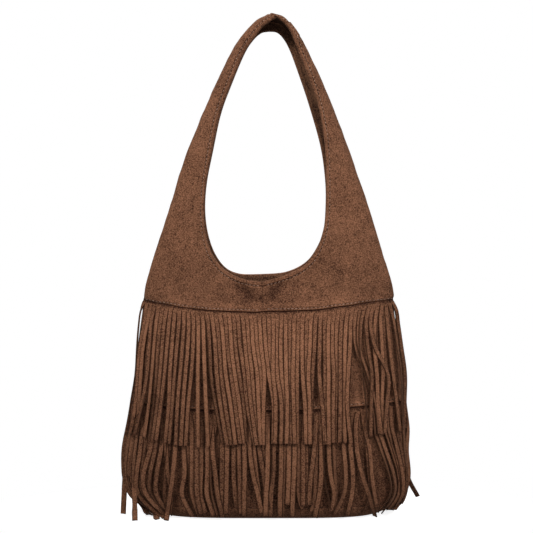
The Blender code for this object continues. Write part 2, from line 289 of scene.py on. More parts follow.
def liningCloth():
    # Plain-woven polyester lining: dull brown with a fine crosswise weave
    made, tree = newMaterial("wovenPolyesterLining")
    place = addNode(tree, "ShaderNodeTexCoord").outputs["Object"]
    threads = []
    for axis in ("X", "Z"):     # 0.5 mm threads, drawn at 1.2 mm so that they show
        wave = addNode(tree, "ShaderNodeTexWave", {"wave_type": "BANDS", "bands_direction": axis}, Vector=place,
                       Scale=1000 / 1.2 / 6.28, Distortion=0.6, Detail=1.0)
        threads.append(wave.outputs["Fac"])
    weave = addNode(tree, "ShaderNodeMath", {"operation": "MULTIPLY"}, n0=threads[0], n1=threads[1])
    colour = addNode(tree, "ShaderNodeMix", {"data_type": "RGBA"}, n0=weave.outputs[0],
                     n6=srgb("33251d"), n7=srgb("4f3b2f"))
    height = addNode(tree, "ShaderNodeBump", Strength=0.6, Distance=mm(0.15), Height=weave.outputs[0])
    shader = addNode(tree, "ShaderNodeBsdfPrincipled", Base_Color=colour.outputs[2], Roughness=0.7,
                     Sheen_Weight=0.15, IOR=1.5, Normal=height.outputs["Normal"])
    finishMaterial(tree, shader)
    return made


def sewingThread():
    # Twisted polyester thread, a shade paler than the suede, with the twist as fine diagonal bands
    made, tree = newMaterial("twistedPolyesterThread")
    place = addNode(tree, "ShaderNodeTexCoord").outputs["Object"]
    twist = addNode(tree, "ShaderNodeTexWave", {"wave_type": "BANDS", "bands_direction": "DIAGONAL"}, Vector=place,
                    Scale=1000 / 0.9 / 6.28, Distortion=0.3)
    colour = addNode(tree, "ShaderNodeMix", {"data_type": "RGBA"}, n0=twist.outputs["Fac"],
                     n6=srgb("8f6a55"), n7=srgb("cda68d"))
    shader = addNode(tree, "ShaderNodeBsdfPrincipled", Base_Color=colour.outputs[2], Roughness=0.6,
                     Sheen_Weight=0.2, IOR=1.5)
    finishMaterial(tree, shader)
    return made


def platedSteel():
    # Stamped steel with antique brass plating: warm, brushed round by wear where the halves meet
    made, tree = newMaterial("antiqueBrassPlatedSteel")
    place = addNode(tree, "ShaderNodeTexCoord").outputs["Object"]
    scuff = addNode(tree, "ShaderNodeTexNoise", Vector=place, Scale=1000 / 0.8, Detail=4.0, Roughness=0.65)
    colour = addNode(tree, "ShaderNodeMix", {"data_type": "RGBA"}, n0=scuff.outputs["Fac"],
                     n6=srgb("7d6a48"), n7=srgb("b8a37a"))
    rough = addNode(tree, "ShaderNodeMapRange", Value=scuff.outputs["Fac"], To_Min=0.22, To_Max=0.45)
    height = addNode(tree, "ShaderNodeBump", Strength=0.4, Distance=mm(0.05), Height=scuff.outputs["Fac"])
    shader = addNode(tree, "ShaderNodeBsdfPrincipled", Base_Color=colour.outputs[2], Metallic=1.0,
                     Roughness=rough.outputs["Result"], Normal=height.outputs["Normal"])
    finishMaterial(tree, shader)
    return made


finishes = {
    "outer": suede("brushedMicrosuede", suedeLook["dark"], suedeLook["light"], "paintedShadeTone"),
    "strand": suede("microsuedeFringe", suedeLook["dark"], suedeLook["light"], "strandToneAndShade"),
    # the facing is the same suede as the outside; its colours are painted darker as painted shade inside the strap
    # and the opening
    "facing": suede("microsuedeFacingPaintedShade", "341f16", "876149", "paintedShadeTone", sheen=0.15),
    "edge": cutEdgeWithPaintedShade(),
    "lining": liningCloth(),
    "thread": sewingThread(),
    "metal": platedSteel(),
}
print("finishes ready:", len(finishes))


# Building sheets

def finishPiece(name, bm, materials, standsFor, outwards=None, thick=0.0, rimMaterial=0):
    # turns the mesh into a piece that rides on the bag; outwards(centre) says which way a face looks
    if outwards:
        votes = sum(f.normal.dot(outwards(f.calc_center_median())) * f.calc_area() for f in bm.faces)
        if votes < 0:
            bmesh.ops.reverse_faces(bm, faces=bm.faces[:])
    mesh = bpy.data.meshes.new(name)
    bm.to_mesh(mesh)
    bm.free()
    mesh.shade_smooth()
    obj = bpy.data.objects.new(name, mesh)
    for finish in materials:
        mesh.materials.append(finishes[finish])
    bpy.context.scene.collection.objects.link(obj)
    if thick:
        wall = obj.modifiers.new("wall", "SOLIDIFY")
        wall.thickness, wall.offset = thick, -1
        wall.use_even_offset = False
        wall.material_offset_rim = rimMaterial
    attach(obj, "root")
    if standsFor:
        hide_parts(*standsFor)
    return obj


def gridSheet(columns, rows, place, paintedShading=None):
    # a flat grid whose point (column, row) goes to place(column, row); the third argument gives the light or shade
    # painted into its nap at (column, row)
    bm = bmesh.new()
    bmesh.ops.create_grid(bm, x_segments=columns, y_segments=rows, size=0.5)
    shadeLayer = bm.verts.layers.float.new("paintedShadeTone")
    for vert in bm.verts:
        column, row = round((vert.co.x + 0.5) * columns), round((vert.co.y + 0.5) * rows)
        vert.co = place(column, row)
        vert[shadeLayer] = paintedShading(column, row) if paintedShading else 0.0
    bm.normal_update()
    return bm


def away(side):
    return lambda centre: Vector((centre.x * 0.3, sideSign[side], 0.0))


# Form of the body, as the solids have it, with the seam lines as the photograph shows them

bodyForm = {
    "halfWidth": 0.160, "halfDepth": 0.050, "widestZ": 0.050,
    "seamHalfWidth": 0.142, "seamHalfDepth": 0.026,
    "cornerRadius": 0.046, "edgeRadius": 0.012,
    "lowerSeam": 0.121, "baseSeam": 0.0135,
    "snapZ": 0.248, "snapReach": 0.045, "snapDepth": 0.00685,
    "slump": 1.6,           # mm, soft unevenness of the panels
}
seamLine = [(mm(x), mm(z)) for x, z in (
    (-142, 244.2), (-123, 240.3), (-94, 235.4), (-65, 232.4), (-38, 231.1), (-14, 230.1), (-6.5, 231.0),
    (1, 231.4), (17, 231.4), (52, 232.9), (87, 237.4), (117.5, 242.0), (143.5, 244.8),
)]


def rounded(half, radius, z):
    below = max(radius - z, 0.0)
    return half - (radius - math.sqrt(max(radius ** 2 - below ** 2, 0.0)))


def pinched(depth, x, z):
    form = bodyForm
    pull = math.exp(-(x ** 2 + (z - form["snapZ"]) ** 2) / (2 * form["snapReach"] ** 2))
    return blend(depth, form["snapDepth"], pull)


def bodySize(z):  # half width and half depth at height z
    form = bodyForm
    taper = min(max((z - form["widestZ"]) / (0.231 - form["widestZ"]), 0.0), 1.0)
    width = blend(form["halfWidth"], form["seamHalfWidth"], taper ** 1.6)
    depth = blend(form["halfDepth"], form["seamHalfDepth"], taper ** 1.7)
    return rounded(width, form["cornerRadius"], z), rounded(depth, form["edgeRadius"], z)


def crownOf(across, h):
    return (1 - min(abs(across), 1.0) ** blend(4.0, 2.2, h)) ** (1 / blend(2.2, 1.35, h))


def bodySpot(side, s, h, out=0.0):
    # s from -1 to 1 across, h from 0 at the floor to 1 at the yoke seam, out from the outer face
    width, depth = bodySize(h * 0.231)
    across = math.sin(s * math.pi / 2)
    crown = crownOf(across, h)
    seam = alongTable(seamLine, across * bodyForm["seamHalfWidth"])
    x, z = across * (width + out), h * seam
    y = pinched(depth * crown, x, z) + out * crown
    return Vector((x, sideSign[side] * (y + mm(0.15)), z))


def slump(spot):  # unevenness of stuffed soft panels
    return noise.noise(Vector((spot.x * 16, spot.y * 10, spot.z * 16))) * mm(bodyForm["slump"])


def makePanels():
    lower, base = bodyForm["lowerSeam"] / 0.231, bodyForm["baseSeam"] / 0.231
    spans = {"middle": (lower + 0.001, 0.998), "lower": (base, lower - 0.001)}
    for side in sideSign:
        for part, (low, high) in spans.items():
            # rows close together where the lower edge stands over the fringe, with its topstitch groove
            lip = (0.0, 0.5, 1.2, 2.0, 2.7, 3.4, 4.6, 7.0)
            hs = [low + mm(d) / 0.231 for d in lip] + steps(low + mm(11) / 0.231, high, 20)
            ss = steps(-1, 1, 96)

            def place(column, row, side=side, part=part, hs=hs, ss=ss):
                h, s = hs[row], ss[column]
                spot = bodySpot(side, s, h)
                edge = min(smooth((h - hs[0]) / 0.05), smooth((hs[-1] - h) / 0.05))
                outwards = slump(spot) * edge
                if part == "middle" and row < 8:
                    outwards += mm((0.9, 2.1, 2.4, 2.1, 0.9, 1.7, 1.1, 0.4)[row])
                if h > hs[-1] - 0.03:
                    outwards -= mm(1.0) * smooth((h - hs[-1] + 0.03) / 0.03)
                return bodySpot(side, s, h, outwards * smooth((1 - abs(s)) / 0.06))

            def paintedShading(column, row, part=part, hs=hs):
                # painted shade darkening the panel towards the foot, painted shade in the topstitch groove, and
                # painted highlight on the lip beside it
                seamShading = (0.2, 0.7, 0.8, 0.5, -1.6, 0.3, 0.2, 0.0) if part == "middle" else (0.0,) * 8
                return seamShading[min(row, 7)] - 0.5 * smooth((0.100 / 0.231 - hs[row]) / 0.2)

            bm = gridSheet(96, len(hs) - 1, place, paintedShading)
            obj = finishPiece(f"{part}Panel_{side}", bm, ["outer"],
                              [f"body_{side}_{part}"], away(side), mm(1.2))


def makeBase():
    # flat bottom with its rim turned up to the base seam
    top = bodyForm["baseSeam"] / 0.231 - 0.002
    bm = bmesh.new()
    loops, across = [], steps(-1, 1, 56)
    around = [("front", s) for s in across] + [("back", s) for s in across[::-1][1:-1]]
    for h in (0.0, 0.05 * top, 0.15 * top, 0.35 * top, 0.6 * top, 0.85 * top, top):
        circle = bmesh.ops.create_circle(bm, cap_ends=not loops, segments=len(around), radius=1.0)["verts"]
        loops.append(list({edge for vert in circle for edge in vert.link_edges}))
        for vert, (side, s) in zip(circle, around):
            spot = bodySpot(side, s, h)
            spot.y = sideSign[side] * max(abs(spot.y) - mm(0.15), 0.0)
            vert.co = spot
    for a, b in zip(loops, loops[1:]):
        bmesh.ops.bridge_loops(bm, edges=a + b)
    bmesh.ops.remove_doubles(bm, verts=bm.verts[:], dist=1e-6)
    bmesh.ops.recalc_face_normals(bm, faces=bm.faces[:])
    obj = finishPiece("basePanel", bm, ["outer"], ["base_panel"],
                      lambda centre: Vector((centre.x, centre.y, -0.1)), mm(1.2))


def makeLinings():
    # two cloth panels that meet at the sides and along the middle of the floor
    for side in sideSign:
        hs = [-1.0, 0.0] + steps(0.03, 0.995, 24)

        def place(column, row, side=side, hs=hs):
            h, s = hs[row], blend(-1, 1, column / 60)
            inset = -mm(2.95)
            spot = bodySpot(side, s, max(h, 0.0), inset)
            if 0.05 < h < 0.93:     # loose folds, away from the seams
                inset -= mm(2.2) * abs(noise.noise(Vector((spot.x * 22, 3.1, spot.z * 9)))) * (1 - s * s)
                spot = bodySpot(side, s, h, inset)
            if h <= 0:
                spot.z = mm(1.8)
            if h < 0:
                spot.y = sideSign[side] * mm(0.2)
            return spot

        obj = finishPiece(f"lining_{side}_cloth", gridSheet(60, len(hs) - 1, place), ["lining"],
                          [f"lining_{side}"], away(side), mm(0.4))


# Yoke leaves, each in one with its arm of the strap. Outlines in mm as the photograph shows them at the
# middle plane; the depth of each point then moves it to its true place.

openingEdge = {
    ("front", "right"): ((-6.5, 261.6), (21, 269.5), (44, 282), (57.5, 301), (65.5, 326), (68, 352), (68, 385),
                         (66, 425), (58.8, 466), (47.5, 500), (36, 529), (27, 551), (18, 562), (8.3, 568)),
    ("front", "left"): ((-6.5, 261.6), (-30.5, 265), (-52.5, 277), (-66.6, 296), (-73, 319), (-75, 346),
                        (-73, 376), (-66.5, 412), (-58, 454), (-46, 487), (-30.5, 524), (-19.5, 541),
                        (-7.5, 557), (8.3, 568)),
    ("back", "right"): ((-10, 270.4), (20, 273), (43, 284), (56.5, 301), (64.5, 322), (67, 350), (66.5, 380),
                        (61.5, 418), (49, 463), (36.8, 500), (26, 529), (17.5, 544), (10, 550.5), (0.5, 551.5)),
    ("back", "left"): ((-10, 270.4), (-33, 271), (-50, 278.5), (-62.8, 296), (-70.5, 319), (-73.5, 346),
                       (-71.5, 376), (-65, 412), (-56, 454), (-44.5, 487), (-29, 524), (-18, 541), (-9, 549.5),
                       (0.5, 551.5)),
}
outerEdge = {
    "right": ((-6.5, 233), (30, 233.5), (70, 236), (110, 240.5), (143, 245), (131.5, 294), (115.5, 347),
              (94.5, 408), (77.2, 455), (59.6, 497), (46, 527), (32.6, 549), (17, 565.8), (2.2, 570)),
    "left": ((-6.5, 233), (-38, 233.7), (-74, 236.5), (-110, 240.5), (-141, 244), (-130.5, 294), (-115, 340),
             (-96.5, 402), (-78.6, 447), (-61, 487), (-43.2, 525), (-30.5, 544), (-13, 563), (2.2, 570)),
}
openingDepth = (8, 14, 19, 20, 19, 17, 15.5, 14, 13, 13, 14, 15.5, 17, 17)     # mm from the middle plane
yoke = {
    "corner": 4, "last": 13,        # stations at the end of the yoke seam and at the top of the strap
    "sideSeam": {"left": 2.6, "right": 0.6},    # mm, how far the arm's outer seam sits towards the front
    "roll": 2.0,                    # mm, radius of the turned edge round the opening
    "thick": 1.3,                   # mm
    "stitchIn": 3.2,                # mm, topstitching from the edge of the opening
    "stitchUp": 2.2,                # mm, topstitching above the yoke seam
    "lap": 2.9,                     # mm, how far the yoke's lower edge stands over the fringe
    "overhang": 0.8,                # mm, the yoke's edge below its seam
    "centre": {"front": -6.5, "back": -10},         # mm, x of the centre seams
    "crown": {"front": 8.3, "back": 0.5},           # mm, x of the strap-top seam at the opening; 2.2 outside
}
# Creases and bulges of the front yoke: places along each (mm), height (mm, out is positive), half width (mm)
creases = (
    (((-40, 264), (-34, 258), (-21, 247), (-12, 236), (-10, 233)), -3.2, 6.5),
    (((16, 262), (9, 255), (2, 247), (-4, 242)), -3.0, 6.0),
    (((34, 268), (22, 260), (9, 255)), -1.2, 7.0),
    (((-4, 258), (-5, 250), (-6, 243)), 1.6, 5.0),
    (((-42, 240), (-34, 242), (-28, 238)), 2.2, 9.0), (((8, 240), (15, 244), (26, 240)), 2.0, 9.0),
    (((-64, 268), (-55, 254), (-46, 240)), 1.4, 10.0), (((52, 268), (42, 252), (34, 240)), 1.4, 10.0),
    (((-100, 276), (-84, 258), (-66, 244)), -1.2, 10.0), (((98, 280), (82, 260), (62, 247)), -1.2, 10.0),
    (((-116, 312), (-106, 288), (-94, 262)), 1.2, 11.0), (((112, 310), (102, 286), (92, 264)), 1.2, 11.0),
    (((-104, 360), (-98, 320), (-88, 290)), -1.0, 9.0), (((96, 366), (92, 326), (84, 296)), -1.0, 9.0),
)


def toTrue(x, z, towards):
    # apparent place in mm at the middle plane, to the place of a point that lies so much nearer the camera
    eyeX, eyeZ = studio["eye"][0], studio["eye"][2]
    scale = 1 + towards / studio["eye"][1]
    return eyeX + (mm(x) - eyeX) * scale, eyeZ + (mm(z) - eyeZ) * scale


def creaseShare(x, z, line, reach):
    # 1 along the middle of the line, fading beside it and towards its ends
    best, count = 0.0, len(line) - 1
    for i in range(count):
        run = Vector((line[i + 1][0] - line[i][0], line[i + 1][1] - line[i][1]))
        off = Vector((x - line[i][0], z - line[i][1]))
        t = min(max(off.dot(run) / run.length_squared, 0.0), 1.0)
        along = (i + t) / count
        ends = smooth(along / 0.35) * smooth((1 - along) / 0.35)
        best = max(best, bell((off - run * t).length, reach) * ends)
    return best


# Painted shade along the folds under the middle of the mouth: places along each (mm), depth of the painted shade,
# half width (mm)
foldShadeLines = (
    (((-40, 266), (-26, 252), (-14, 238)), 1.0, 6.5), (((18, 266), (8, 253), (0, 241)), 1.0, 6.0),
    (((-52, 247), (0, 243), (46, 248)), 0.4, 14.0), (((-26, 268), (0, 262), (22, 267)), 0.3, 8.0),
)


def paintedShadeTone(side, x, z):    # below 0: painted shade in the folds under the middle of the mouth
    across = x * 1000 if side == "front" else -x * 1000
    return -sum(deep * creaseShare(across, z * 1000, line, reach) for line, deep, reach in foldShadeLines)


def yokeRelief(side, x, z):
    x, z = x * 1000, z * 1000
    total = 1.1 * noise.noise(Vector((x * 0.03, sideSign[side] * 7.0, z * 0.03)))
    total += 0.5 * noise.noise(Vector((x * 0.09, sideSign[side] * 3.0, z * 0.09)))
    across = x if side == "front" else -x
    for line, height, reach in creases:
        total += height * creaseShare(across, z, line, reach) * (1.0 if side == "front" else 0.7)
    snap = smooth((math.hypot(x, z - 252) - 9) / 8)     # the snap under it props the leaf up
    return mm(max(total, -0.3 - 4.0 * snap))


def leafSpot(side, hand, station, u, inset=0.0):
    # u from 0 at the opening to 1 at the outer edge; inset inwards from the outer face
    corner, last = yoke["corner"], yoke["last"]
    sign = sideSign[side]
    depth = mm(through([(d,) for d in openingDepth], station)[0])
    innerX, innerZ = toTrue(*through(openingEdge[(side, hand)], station), -sign * depth)
    outerX, outerZ = through(outerEdge[hand], station)
    if station <= corner:
        across = min(abs(outerX) / (bodyForm["seamHalfWidth"] * 1000), 1.0)
        crown = crownOf(across, 1.0)
        outerDepth = bodyForm["seamHalfDepth"] * crown - inset * crown
        if side == "back":
            outerX = blend(outerX - 3.5, outerX, station / corner)
        outerX = mm(outerX)
        outerZ = alongTable(seamLine, outerX) - mm(yoke["overhang"])
        shift = 0.0
    else:
        before = through(outerEdge[hand], station - 0.1)
        run = Vector((outerX - before[0], outerZ - before[1])).normalized()
        if station == last:
            run = Vector((-handSign[hand], 0.0))
        outerX, outerZ = mm(outerX), mm(outerZ)
        outerX -= handSign[hand] * abs(run.y) * inset
        outerZ += run.x * handSign[hand] * inset
        crown, outerDepth = 0.0, 0.0
        shift = mm(yoke["sideSeam"][hand]) * smooth((station - corner) / 1.5) * smooth((last - station) / 2)
    arch = smooth(station / corner)
    turn = (1 - u) * math.pi / 2
    reach = blend(u, math.cos(turn), arch)
    lift = blend(1 - u, math.sin(turn), arch)
    x, z = blend(innerX, outerX, reach), blend(innerZ, outerZ, reach)
    deep = blend(outerDepth, depth - inset, lift)
    deep = pinched(deep + inset, x, z) - inset if inset else pinched(deep, x, z)
    y = sign * (deep + mm(0.15)) - shift * (1 - lift) ** 0.7
    return Vector((x, y, z))


def leafRows(side, hand, station):
    # places across the leaf: (u, out in mm); fixed distances near its two edges
    corner = yoke["corner"]
    samples = steps(0, 1, 14)
    spots = [leafSpot(side, hand, station, u) for u in samples]
    walked = [0.0]
    for a, b in zip(spots, spots[1:]):
        walked.append(walked[-1] + (b - a).length)

    def uAt(distance):
        distance = min(max(distance, 0.0), walked[-1])
        for i in range(14):
            if distance <= walked[i + 1]:
                share = (distance - walked[i]) / max(walked[i + 1] - walked[i], 1e-9)
                return blend(samples[i], samples[i + 1], share)
        return 1.0

    total = walked[-1]
    stitch = yoke["stitchIn"]
    near = ((0.0, 0.0), (1.5, 0.6), (stitch - 0.8, 0.4), (stitch, -1.1), (stitch + 0.8, 0.4),
            (stitch + 2.4, 0.6), (stitch + 5.5, 0.1))
    rows = [(uAt(mm(d)), out) for d, out in near]
    seamed = smooth((corner + 0.3 - station) / 0.6)
    lap, up = yoke["lap"], yoke["stitchUp"]
    far = ((9.0, 0.1 * lap, 0.1), (5.0, 0.5 * lap, 0.2), (up + 0.9, 0.9 * lap, 0.25), (up, 0.9 * lap - 0.9, 0.25),
           (up - 0.8, 0.98 * lap, 0.1), (0.5, lap, -0.3), (0.0, lap - 0.5, -0.9))
    start, end = mm(near[-1][0]), total - mm(far[0][0])
    rows += [(uAt(blend(start, end, t)), 0.05) for t in steps(0, 1, 15)[1:-1]]
    rows += [(uAt(total - mm(d)), blend(armOut, seamOut, seamed)) for d, seamOut, armOut in far]
    return rows


leafStations = steps(0, 4, 40) + steps(4, 10, 60)[1:] + steps(10, 13, 36)[1:]
rollAngles = (165, 130, 95, 62, 30)
leafRowCount = 7 + 14 + 7 + len(rollAngles)


def seamDip(side, hand, station, x):
    # the centre seam and the strap-top seam draw the leaf in beside them
    if station < 1.5:
        centre = mm(yoke["centre"][side])
        return -mm(0.5) * bell(x - centre, mm(1.2)) + mm(0.2) * bell(abs(x - centre) - mm(3.4), mm(1.8))
    if station > 11:
        return -mm(0.8) * bell(x - mm(2.2), mm(1.2)) + mm(0.4) * bell(abs(x - mm(2.2)) - mm(3.2), mm(1.6))
    return 0.0


def seamX(side, station, u):  # x of the seam that ends a leaf, at u across it
    if station == 0:
        return mm(yoke["centre"][side])
    return mm(blend(yoke["crown"][side], 2.2, smooth(u * 1.5)))


def makeLeaves():
    for side in sideSign:
        for hand in handSign:
            table = {}
            for column, station in enumerate(leafStations):
                rows = leafRows(side, hand, station)
                edge = leafSpot(side, hand, station, 0.0)
                beyond = (edge - leafSpot(side, hand, station, 0.04)).normalized()
                inwards = Vector((0, -sideSign[side], 0))
                beyond = (beyond - inwards * beyond.dot(inwards)).normalized()
                radius = mm(yoke["roll"])
                line, across = [], [0.0] * len(rollAngles) + [u for u, out in rows]
                for angle in rollAngles:
                    a = math.radians(angle)
                    line.append(edge + inwards * radius * (1 - math.cos(a)) + beyond * radius * math.sin(a))
                for u, out in rows:
                    spot = leafSpot(side, hand, station, u)
                    fade = smooth((u - 0.02) * 9) * smooth((1 - u) * 9)
                    raised = mm(out) + yokeRelief(side, spot.x, spot.z) * fade
                    raised += seamDip(side, hand, station, spot.x)
                    line.append(leafSpot(side, hand, station, u, -raised))
                if station in (0, yoke["last"]):
                    for spot, u in zip(line, across):
                        spot.x = seamX(side, station, u) + handSign[hand] * mm(0.03)
                table[column] = line

            def place(column, row, table=table):
                return table[column][row]

            def paintedShading(column, row, table=table, side=side):
                spot = table[column][row]
                seamed = 1.0 if leafStations[column] <= yoke["corner"] else 0.0
                first = len(rollAngles)
                # painted shade in the topstitch grooves and along the yoke seam, painted highlight on the ridges
                # beside them, and painted shade in the folds under the mouth
                seamShading = {first + 1: 0.3, first + 3: -1.8, first + 24: -1.0 * seamed,
                          leafRowCount - 2: 0.5 * seamed}.get(row, 0.0)
                return seamShading + (paintedShadeTone(side, spot.x, spot.z) if spot.z < 0.30 else 0.0)

            bm = gridSheet(len(leafStations) - 1, leafRowCount - 1, place, paintedShading)
            obj = finishPiece(f"leaf_{side}_{hand}", bm, ["outer", "edge"],
                              [f"yoke_{side}_{hand}"],
                              lambda centre, side=side: Vector((0, sideSign[side], 0)), mm(yoke["thick"]))


def makeFacings():
    # suede band inside the opening, from the turned edge to the outer seams
    for side in sideSign:
        stations = [-s for s in leafStations[:0:-2]] + leafStations[::2]
        us = steps(0, 1, 14)

        def place(column, row, side=side, stations=stations, us=us):
            station = stations[column]
            hand = "left" if station < 0 else "right"
            u = us[row]
            spot = leafSpot(side, hand, abs(station), u, mm(2.9))
            if abs(station) in (0, yoke["last"]):
                spot.x = seamX(side, abs(station), u) + handSign[hand] * mm(0.02) * (station != 0)
            return spot

        def paintedShading(column, row, stations=stations):  # painted light and shade standing in for long soft folds, on a band whose shape is smooth
            return 2.6 * noise.noise(Vector((row * 0.85, stations[column] * 0.28, 3.5))) - 0.3

        obj = finishPiece(f"facingBand_{side}", gridSheet(len(stations) - 1, len(us) - 1, place, paintedShading), ["facing"],
                          [f"facing_{side}"], away(side), mm(1.0))


# Fringe. Each tier is one strip, uncut along its header, slit into strands below it.

fringe = {
    "count": 59,
    "thick": 1.15,              # mm
    "header": 4.8,              # mm of uncut strip under the seam
    "headerJitter": 1.3,        # mm
    "width": 0.88,              # of the pitch
    "crown": 0.40,              # mm, how far a strand's middle stands over its edges
    "out": {"upper": 5.8, "lower": 4.0},    # mm from the panel at the ends
    "layer": 1.45,              # mm between strands that lie over each other
    "roll": {"upper": 14.0, "lower": 20.0},  # degrees, how much single strands turn
    "seed": 11,
    "footLength": 131.0,        # mm, cut length of the lower strip
}
